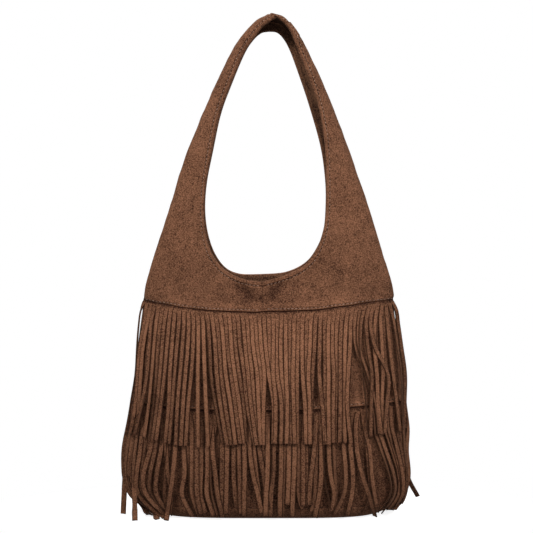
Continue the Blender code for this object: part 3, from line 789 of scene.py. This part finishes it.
# How the front strands hang: places in pixels across the photograph at four rows of it, then the end
# (across, down), then the layer, 0 being next to the body
fringeRows = {"upper": (322, 347, 375, 405), "lower": (425, 450, 475, 495)}
hanging = {"upper": (
    (138.9, 136.8, 135.3, 130.5, 128.0, 432, 0.6), (144.8, 140.2, 138.0, 135.4, 130.3, 433.6, 1.2),
    (147.8, 143.2, 141.0, 139.0, 137.5, 431, 0.0), (151.2, 149.3, 147.0, 141.5, 134.8, 434.5, 2.0),
    (156.5, 154.0, 151.8, 148.8, 144.4, 437.5, 1.0), (160.5, 158.5, 156.8, 154.6, 148.3, 450, 0.2),
    (164.5, 162.3, 160.0, 157.2, 152.3, 440, 1.2), (169.3, 167.0, 164.6, 161.0, 156.2, 440.7, 2.0),
    (174.2, 172.0, 170.0, 169.0, 165.4, 443, 0.6), (179.2, 177.0, 174.6, 172.4, 169.2, 444, 1.3),
    (184.2, 182.5, 180.2, 177.5, 175.8, 445.5, 0.8), (189.0, 188.0, 185.6, 183.2, 181.0, 446, 1.2),
    (193.8, 193.3, 191.4, 188.4, 185.8, 446, 0.8), (198.5, 198.5, 198.0, 198.0, 198.3, 447.6, 1.4),
    (203.3, 204.0, 205.0, 206.2, 208.3, 446.5, 1.2), (208.3, 210.0, 211.5, 216.0, 223.0, 443, 0.0),
    (213.0, 215.5, 217.0, 220.5, 227.3, 445.6, 1.8), (217.3, 219.5, 221.5, 225.5, 231.3, 445.6, 1.1),
    (221.7, 224.0, 226.0, 230.8, 235.7, 445, 1.9), (226.0, 227.6, 231.4, 235.3, 240.6, 444, 0.7),
    (230.2, 231.6, 235.0, 239.6, 243.6, 444, 1.6), (234.4, 235.6, 239.4, 244.2, 245.2, 442, 0.3),
    (238.6, 240.5, 244.8, 247.4, 255.2, 445.6, 0.6), (243.4, 245.5, 248.3, 251.2, 256.8, 445.6, 1.4),
    (247.8, 249.5, 252.5, 254.2, 258.2, 445.4, 0.5), (252.0, 253.5, 257.5, 258.8, 261.0, 445.3, 1.5),
    (256.0, 257.5, 260.6, 261.3, 262.4, 445, 0.6), (260.0, 261.4, 264.6, 263.8, 263.4, 445.3, 1.7),
    (264.4, 266.0, 269.0, 274.0, 273.6, 444, 0.9), (269.2, 270.0, 271.3, 275.3, 274.4, 443, 0.1),
    (273.6, 273.6, 273.4, 276.2, 275.2, 444, 1.8), (277.4, 276.4, 277.4, 281.8, 281.2, 444.5, 0.8),
    (281.7, 280.9, 281.8, 284.0, 284.6, 444, 0.2), (286.0, 286.0, 286.5, 287.6, 286.8, 444, 1.5),
    (290.0, 290.0, 290.0, 290.4, 290.8, 444.5, 0.8), (294.4, 294.0, 293.2, 293.8, 295.0, 444, 1.4),
    (298.7, 298.0, 297.4, 297.2, 297.2, 444, 0.7), (302.7, 302.3, 302.9, 305.2, 306.4, 444.5, 1.4),
    (307.0, 306.3, 305.6, 306.8, 307.6, 444, 0.4), (311.0, 310.2, 308.6, 310.0, 310.2, 444.5, 1.6),
    (315.7, 314.7, 312.8, 311.8, 311.3, 444, 0.5), (320.6, 320.0, 319.6, 322.6, 325.5, 445, 1.3),
    (325.0, 325.0, 325.4, 325.2, 327.2, 445, 0.5), (329.0, 328.5, 329.0, 328.8, 329.4, 445, 1.6),
    (333.0, 332.4, 334.2, 333.5, 333.8, 443.5, 1.1), (337.3, 336.4, 337.4, 335.6, 335.5, 443.5, 0.3),
    (341.8, 340.6, 340.6, 340.6, 340.0, 443, 1.4), (346.5, 345.2, 344.6, 343.4, 345.5, 443, 0.7),
    (351.0, 350.4, 348.6, 347.4, 351.3, 443, 1.5), (355.0, 356.0, 366.0, 373.5, 376.0, 434, -0.2),
    (359.2, 359.4, 368.5, 376.5, 379.5, 434, 0.2), (361.6, 361.0, 363.6, 366.6, 368.0, 430, 0.5),
    (366.5, 368.3, 372.4, 371.6, 371.2, 436.5, 1.6), (370.8, 375.3, 389.0, 387.2, 385.4, 433, 3.0),
    (375.5, 374.6, 377.4, 378.4, 381.5, 434, 0.8), (381.0, 382.6, 383.4, 382.2, 383.2, 434.8, 1.6),
    (388.0, 390.3, 393.6, 397.5, 400.8, 431.5, 0.9), (394.4, 398.2, 402.0, 402.8, 404.0, 430, 2.0),
    (398.2, 402.0, 405.8, 405.2, 405.6, 428, 0.6),
), "lower": (
    (127.4, 123.6, 124.2, 130.6, 151.0, 516, 0.4), (131.0, 127.2, 126.6, 133.6, 157.6, 519, 1.4),
    (134.6, 131.2, 129.6, 136.4, 158.0, 515, 0.2), (138.5, 135.2, 133.4, 138.4, 164.0, 518, 1.2),
    (142.5, 140.4, 136.8, 138.6, 161.0, 517, 2.2), (146.5, 144.5, 140.5, 143.0, 165.0, 514, 0.0),
    (155.0, 150.3, 143.5, 146.2, 167.0, 517, 2.2), (157.5, 155.2, 150.0, 150.4, 165.0, 513, 1.0),
    (163.0, 161.2, 156.8, 156.6, 168.0, 512, 1.2), (166.3, 166.3, 168.1, 171.4, 170.0, 515, 0.8),
    (170.5, 169.0, 166.0, 165.0, 168.0, 508, -0.3), (176.5, 175.5, 173.0, 170.3, 166.5, 520, 2.4),
    (182.0, 183.8, 184.8, 181.8, 193.0, 517, 1.0), (187.5, 189.0, 191.0, 191.5, 196.0, 512, 0.0),
    (191.5, 192.0, 192.2, 192.4, 199.0, 515, 1.0), (196.8, 196.8, 196.8, 197.4, 201.0, 514.5, 2.0),
    (201.8, 201.6, 201.2, 200.6, 206.0, 513, 0.1), (207.0, 207.4, 207.6, 207.0, 214.0, 516, 1.1),
    (211.8, 212.8, 215.5, 217.8, 222.7, 517.5, 1.9), (215.5, 212.0, 211.5, 212.5, 218.0, 515, 0.0),
    (222.3, 222.2, 222.2, 222.4, 222.0, 517.5, 1.2), (227.6, 227.4, 227.0, 226.6, 226.0, 514, 2.0),
    (233.6, 233.8, 233.8, 235.4, 237.0, 508, 0.0), (238.6, 239.2, 239.8, 240.4, 241.0, 514, 1.0),
    (244.0, 244.6, 245.0, 244.4, 244.3, 516.5, 2.0), (248.5, 249.9, 253.2, 258.3, 262.0, 513.5, 1.4),
    (253.0, 254.0, 256.5, 259.0, 261.0, 507, -0.3), (258.0, 259.6, 263.8, 266.5, 268.0, 510, 0.3),
    (263.0, 264.0, 265.5, 265.0, 264.0, 512, -0.3), (268.0, 268.0, 267.7, 266.3, 265.8, 516.5, 2.2),
    (274.3, 274.5, 273.9, 271.4, 270.6, 517, 1.2), (281.4, 281.6, 281.3, 280.4, 280.2, 517, 2.0),
    (285.5, 285.4, 284.8, 284.0, 283.0, 512, 0.1), (289.4, 289.3, 288.9, 288.2, 287.5, 505, 1.0),
    (294.8, 295.0, 294.3, 293.2, 292.6, 517, 2.0), (299.4, 299.4, 299.3, 299.0, 303.0, 509, 0.1),
    (303.8, 303.6, 303.7, 303.6, 303.4, 506.5, 1.4), (307.0, 306.5, 306.4, 306.2, 306.0, 506, 0.3),
    (316.0, 314.6, 311.4, 309.6, 310.0, 505.5, 1.2), (317.5, 316.5, 316.0, 315.5, 312.0, 512, -0.3),
    (322.0, 321.7, 321.5, 319.6, 315.0, 518, 2.0), (325.0, 324.5, 324.8, 328.8, 332.0, 509, 0.3),
    (329.2, 329.3, 330.8, 334.8, 331.0, 511.5, 1.3), (334.6, 334.6, 335.5, 336.5, 334.0, 510, -0.3),
    (343.8, 344.4, 346.3, 344.3, 335.0, 514.5, 1.2), (350.4, 351.0, 353.4, 352.4, 347.5, 516.5, 2.0),
    (356.0, 357.4, 362.4, 369.0, 375.0, 517, 3.2), (364.7, 370.3, 372.3, 375.0, 377.0, 505, 1.2),
    (366.5, 368.0, 370.0, 371.0, 366.0, 510, -0.3), (373.5, 381.8, 390.0, 391.4, 379.0, 512.5, 0.8),
    (378.0, 386.2, 394.4, 395.3, 383.0, 513, 1.8), (384.5, 392.6, 399.6, 399.6, 388.6, 510.5, 0.9),
    (388.0, 394.0, 400.0, 400.5, 392.0, 509, 0.0), (392.0, 398.0, 403.2, 403.0, 395.0, 507.5, 1.8),
    (395.0, 400.0, 404.0, 403.0, 396.0, 506, 0.2), (396.8, 402.0, 406.5, 404.5, 398.0, 505, 1.0),
    (399.5, 403.0, 406.0, 404.0, 400.0, 504, 0.1), (404.0, 405.4, 407.4, 405.0, 401.0, 503, 1.0),
    (408.8, 407.4, 409.4, 404.4, 396.0, 505, 0.2),
)}


def evenPlaces(side, h, count):  # edges and centres of equal shares of the section's length, as s
    fine = [bodySpot(side, s, h) for s in steps(-1, 1, 400)]
    walked = [0.0]
    for a, b in zip(fine, fine[1:]):
        walked.append(walked[-1] + (b - a).length)
    found, i = [], 0
    for k in range(2 * count + 1):
        target = walked[-1] * k / (2 * count)
        while i < 399 and walked[i + 1] < target:
            i += 1
        found.append(-1 + (i + (target - walked[i]) / (walked[i + 1] - walked[i])) / 200)
    return found, walked[-1] / count


def hangDepth(x, z, out):
    # distance from the middle plane of something that hangs so far out from the body
    width, depth = bodySize(max(z, mm(3)))
    crown = crownOf(abs(x) / (width + out), max(z, 0.0) / 0.231)
    return pinched(depth * crown, x, z) + out * (0.35 + 0.65 * crown) + mm(0.3)


def photoSpot(side, px, py, out):
    # true place of a point of the photograph that hangs on the body; below the floor it lies on the floor
    sign, x0, z0 = sideSign[side], (px - 268.5) * 1.146, (512 - py) * 1.146
    deep, low = mm(20), mm(fringe["thick"] + 0.5)
    for i in range(7):
        x, z = toTrue(x0, z0, -sign * deep)
        deep = blend(deep, hangDepth(x, z, out), 0.6)
    if z < low:
        z, eye = low, studio["eye"]
        if side == "front" or abs(x) > bodyForm["halfWidth"]:
            towards = -eye[1] * (1 - (eye[2] - low) / (eye[2] - mm(z0)))
            x, z = toTrue(x0, z0, towards)
            return Vector((x, -towards, low))
    return Vector((x, sign * deep, z))


def pixels(spot):
    # where the photograph shows a place
    eye = studio["eye"]
    scale = eye[1] / (eye[1] - spot.y)
    x, z = eye[0] + (spot.x - eye[0]) * scale, eye[2] + (spot.z - eye[2]) * scale
    return 268.5 + x * 1000 / 1.146, 512 - z * 1000 / 1.146


def strandHabits(side, tier, pick):
    habits, count = [], fringe["count"]
    for i in range(count):
        places = list(hanging[tier][i])
        if side == "back":  # the back hangs much the same, in loose groups of its own
            loose = smooth(min(i, count - 1 - i) / 5)
            drift = loose * (5.0 * noise.noise(Vector((i * 0.21, 1.7 if tier == "upper" else 9.3, 0.5)))
                             + 3.0 * noise.noise(Vector((i * 0.57, 4.4, 2.5))))
            places[:5] = [x + drift * share for x, share in zip(places, (0.3, 0.6, 0.8, 1.0, 1.0))]
        habits.append({
            "places": places, "layer": places[6],
            "slit": pick.uniform(-1, 1) * fringe["headerJitter"],
            "lift": pick.uniform(-0.2, 0.9), "curl": pick.uniform(-0.5, 1.4),
            "swell": 0.0, "facing": 1.0,
            "roll": [pick.gauss(0, 0.5 * fringe["roll"][tier]), pick.gauss(0, fringe["roll"][tier])],
            "tone": pick.uniform(-0.5, 0.5),
        })
    return habits


def special(side, tier, habits):
    # single strands that the photograph shows apart from the rest
    if tier == "upper":
        habits[0]["swell"], habits[-1]["swell"] = -1.3, 2.0
        habits[0]["facing"] = 0.0
        if side == "front":
            for i, turn in ((5, 62), (15, 40), (51, 60), (49, 35), (50, 30), (1, 35), (57, 40)):
                habits[i]["roll"] = [turn * 0.6, turn]
    elif side == "front":
        for i, turn in ((19, 60), (41, 72), (13, 45), (2, 40), (49, 35), (43, 40), (10, 50), (52, 45)):
            habits[i]["roll"] = [turn * 0.6, turn]
    else:   # two hang free at the left, one pokes out at the right
        habits[0]["places"][:6] = [128.0, 126.5, 125.2, 124.2, 123.3, 514.2]
        habits[1]["places"][:6] = [132.0, 133.0, 134.0, 134.4, 135.2, 521.4]
        habits[-1]["places"][:6] = [406.0, 407.0, 407.5, 417.6, 418.4, 496.5]
        for i, forward in ((0, 23.0), (1, 62.0), (-1, 0.0)):
            habits[i]["forward"], habits[i]["roll"] = forward, [4.0, 8.0]


def strandPath(side, tier, own, start, rows):
    # true places along a strand, evenly spaced, from under its header through the photographed places
    marks = [pixels(start)] + list(zip(own["places"], fringeRows[tier])) + [tuple(own["places"][4:6])]
    last, full = len(marks) - 1, fringe["out"][tier]
    fine = []
    for k in range(9 * last + 1):
        px, py = through(marks, k / 9)
        t = k / (9 * last)
        late = 2.2 * t if tier == "upper" else 1.7 * t - 0.12
        out = 2.0 + (full - 2.0) * smooth(1.3 * t) + own["layer"] * fringe["layer"] * smooth(late)
        out += own["lift"] * math.sin(math.pi * t) + own["curl"] * t ** 3
        if "forward" in own:    # hangs free beside the body, its end nearer the camera
            towards = mm(own["forward"]) * t * t
            x, z = toTrue((px - 268.5) * 1.146, (512 - py) * 1.146, towards)
            fine.append(Vector((x, blend(start.y, -towards, smooth(t * 3)), z)))
        else:
            fine.append(photoSpot(side, px + own["swell"] * bell(t - 0.1, 0.06), py, mm(out)))
    fine[0] = start.copy()
    for turn in range(4):   # no kinks where the body turns its corner
        fine = fine[:1] + [(a + b * 2 + c) / 4 for a, b, c in zip(fine, fine[1:], fine[2:])] + fine[-1:]
    walked = [0.0]
    for a, b in zip(fine, fine[1:]):
        walked.append(walked[-1] + (b - a).length)
    path, i = [], 0
    for k in range(rows + 1):
        target = walked[-1] * k / rows
        while i < len(fine) - 2 and walked[i + 1] < target:
            i += 1
        spot = fine[i].lerp(fine[i + 1], (target - walked[i]) / max(walked[i + 1] - walked[i], 1e-9))
        spot.z = max(spot.z, mm(fringe["thick"] + 0.5))
        path.append(spot)
    return path


def makeFringe(side, tier):
    count, rows = fringe["count"], 30
    pick = random.Random(fringe["seed"] + 7 * (side == "back") + 3 * (tier == "lower"))
    top = 1.0 if tier == "upper" else bodyForm["lowerSeam"] / 0.231
    places, pitch = evenPlaces(side, top, count)
    habits = strandHabits(side, tier, pick)
    special(side, tier, habits)
    half = pitch * fringe["width"] / 2
    # across a strand: (share of its half width, share of its crown)
    parts = ((-1.0, -0.5), (-0.72, 0.5), (0.72, 0.5), (1.0, -0.5))
    lines, header = [], []
    for i, own in enumerate(habits):
        s = places[2 * i + 1]
        start = bodySpot(side, s, top - mm(fringe["header"] + own["slit"]) / 0.231, mm(2.0))
        path = strandPath(side, tier, own, start, rows)
        tangent = (bodySpot(side, min(s + 0.004, 1), top, mm(2))
                   - bodySpot(side, max(s - 0.004, -1), top, mm(2)))
        tangent.z = 0
        tangent.normalize()
        for row, centre in enumerate(path):
            a, b = path[max(row - 1, 0)], path[min(row + 1, rows)]
            fall = (b - a).normalized()
            # the strand faces out from the body where it hangs
            x = centre.x
            turn = Vector((mm(2), sideSign[side] * (hangDepth(x + mm(1), centre.z, mm(3))
                                                    - hangDepth(x - mm(1), centre.z, mm(3))), 0)).normalized()
            share = smooth(row / 6) * smooth((1.0 - abs(x) / bodySize(max(centre.z, mm(30)))[0]) / 0.1)
            share *= own["facing"]
            along = tangent.lerp(turn, share)
            if not own["facing"]:   # hangs edge on at the left corner
                along = tangent.lerp(Vector((0, sideSign[side], 0)), smooth(row / 2))
            if tier == "lower":     # round the corner they show their faces, being pushed forward from behind
                along = along.lerp(Vector((1, 0, 0)), 0.6 * smooth(row / 12) * (1 - share))
            along.normalize()
            width = (along - fall * along.dot(fall)).normalized()
            out = width.cross(fall).normalized() * -sideSign[side]
            t = row / rows
            roll = math.radians(own["roll"][0] * math.sin(math.pi * t) + own["roll"][1] * t ** 1.3)
            turned = width * math.cos(roll) + out * math.sin(roll)
            width, out = turned, out * math.cos(roll) - width * math.sin(roll)
            points = [centre + width * half * w + out * mm(fringe["crown"]) * c for w, c in parts]
            for point in points:    # the foot rests on the floor, not in it
                point.z = max(point.z, mm(fringe["thick"] + 0.25))
            lines.append(points)
        gap = (places[2 * i + 2] - places[2 * i]) / 2
        across = [min(max(s + w * gap * 0.99, -1), 1) for w, c in parts]
        header.append([[bodySpot(side, t, top + mm(2.4) / 0.231, mm(0.3)) for t in across],
                       [bodySpot(side, t, top - mm(2.0) / 0.231, mm(1.1)) for t in across]])

    bm = bmesh.new()
    columns, deep = 4 * count - 1, rows + 2
    bmesh.ops.create_grid(bm, x_segments=columns, y_segments=deep, size=0.5)
    slits = [f for f in bm.faces
             if int((f.calc_center_median().x + 0.5) * columns) % 4 == 3
             and (f.calc_center_median().y + 0.5) * deep > 2]
    bmesh.ops.delete(bm, geom=slits, context="FACES")
    tone = bm.verts.layers.float.new("strandToneAndShade")
    for vert in bm.verts:
        i, k = divmod(round((vert.co.x + 0.5) * columns), 4)
        row = round((vert.co.y + 0.5) * deep)
        # painted shade where the header goes in under the yoke's edge and along both cut sides of a strand,
        # painted highlight down its middle, over the strand's own tone that differs at random
        cut = -1.5 if k in (0, 3) else 0.3
        vert[tone] = (-3.0, -1.4)[row] if row < 2 else (habits[i]["tone"] + cut) * smooth((row - 2) / 4)
        vert.co = header[i][row][k] if row < 2 else lines[i * (rows + 1) + row - 2][k]
    bm.normal_update()
    obj = finishPiece(f"fringe_{side}_{tier}_strands", bm, ["strand", "edge"],
                      [f"fringe_{side}_{tier}"], away(side), mm(fringe["thick"]), rimMaterial=1)
    crisp = obj.modifiers.new("crispEdges", "WEIGHTED_NORMAL")
    crisp.mode, crisp.weight = "FACE_AREA", 80
    long = 0.152 if tier == "upper" else mm(fringe["footLength"])


# Sewing

sewing = {"stitch": 3.0, "gap": 1.4, "thread": 0.8}    # mm: length, space between, thickness


def stitchRow(bm, spots, normals):
    # small rounded stitches laid along a line of spots
    marks = [0.0]
    for a, b in zip(spots, spots[1:]):
        marks.append(marks[-1] + (b - a).length)
    pitch = mm(sewing["stitch"] + sewing["gap"])
    count = int(marks[-1] / pitch)
    i = 0
    for k in range(count):
        target = (k + 0.5) * marks[-1] / count
        while i < len(spots) - 2 and marks[i + 1] < target:
            i += 1
        t = (target - marks[i]) / max(marks[i + 1] - marks[i], 1e-9)
        centre = spots[i].lerp(spots[i + 1], t)
        along = (spots[i + 1] - spots[i]).normalized()
        up = normals[i].lerp(normals[i + 1], t)
        up = (up - along * up.dot(along)).normalized()
        turn = Matrix((along, up.cross(along), up)).transposed().to_4x4()
        radius = mm(sewing["thread"]) / 2
        size = Matrix.Diagonal((mm(sewing["stitch"]) / 2, radius, radius, 1))
        bmesh.ops.create_uvsphere(bm, u_segments=6, v_segments=4, radius=1.0,
                                  matrix=Matrix.Translation(centre) @ turn @ size)


def leafLine(side, hand, rowIndex, stations, lift):
    spots, normals = [], []
    for station in stations:
        rows = leafRows(side, hand, station)
        u, out = rows[rowIndex]
        spot = leafSpot(side, hand, station, u)
        fade = smooth((u - 0.02) * 9) * smooth((1 - u) * 9)
        raised = mm(out + lift) + yokeRelief(side, spot.x, spot.z) * fade
        spots.append(leafSpot(side, hand, station, u, -raised))
        ahead = (leafSpot(side, hand, station, min(u + 0.03, 1.0))
                 - leafSpot(side, hand, station, max(u - 0.03, 0.0)))
        onward = (leafSpot(side, hand, min(station + 0.05, 13), u)
                  - leafSpot(side, hand, max(station - 0.05, 0), u))
        normal = ahead.cross(onward).normalized()
        if normal.y * sideSign[side] < 0:
            normal = -normal
        normals.append(normal)
    return spots, normals


def makeStitching():
    for side in sideSign:
        bm = bmesh.new()
        for hand in handSign:
            stitchRow(bm, *leafLine(side, hand, 3, leafStations[2:-2], 1.1))          # round the opening
            stitchRow(bm, *leafLine(side, hand, 24, leafStations[2:41], 1.0))         # above the yoke seam
        low = bodyForm["lowerSeam"] / 0.231 + 0.001 + mm(2.7) / 0.231
        ss = steps(-0.97, 0.97, 120)
        spots = [bodySpot(side, s, low, mm(1.05)) for s in ss]
        normals = [Vector((spot.x * 3, sideSign[side], 0)).normalized() for spot in spots]
        stitchRow(bm, spots, normals)
        bmesh.ops.recalc_face_normals(bm, faces=bm.faces[:])
        finishPiece(f"topstitching_{side}", bm, ["thread"], None)


makePanels()
makeBase()
makeLinings()
print("panels, base and lining made")
makeLeaves()
makeFacings()
print("yoke and strap made")
for side in sideSign:
    for tier in ("upper", "lower"):
        makeFringe(side, tier)
print("fringes made")
makeStitching()
for name in ("snap_stud", "snap_socket", "snap_backing_front", "snap_backing_back"):
    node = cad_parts[name]
    node.data.materials.clear()
    node.data.materials.append(finishes["metal"])
print("stitching and snap made")
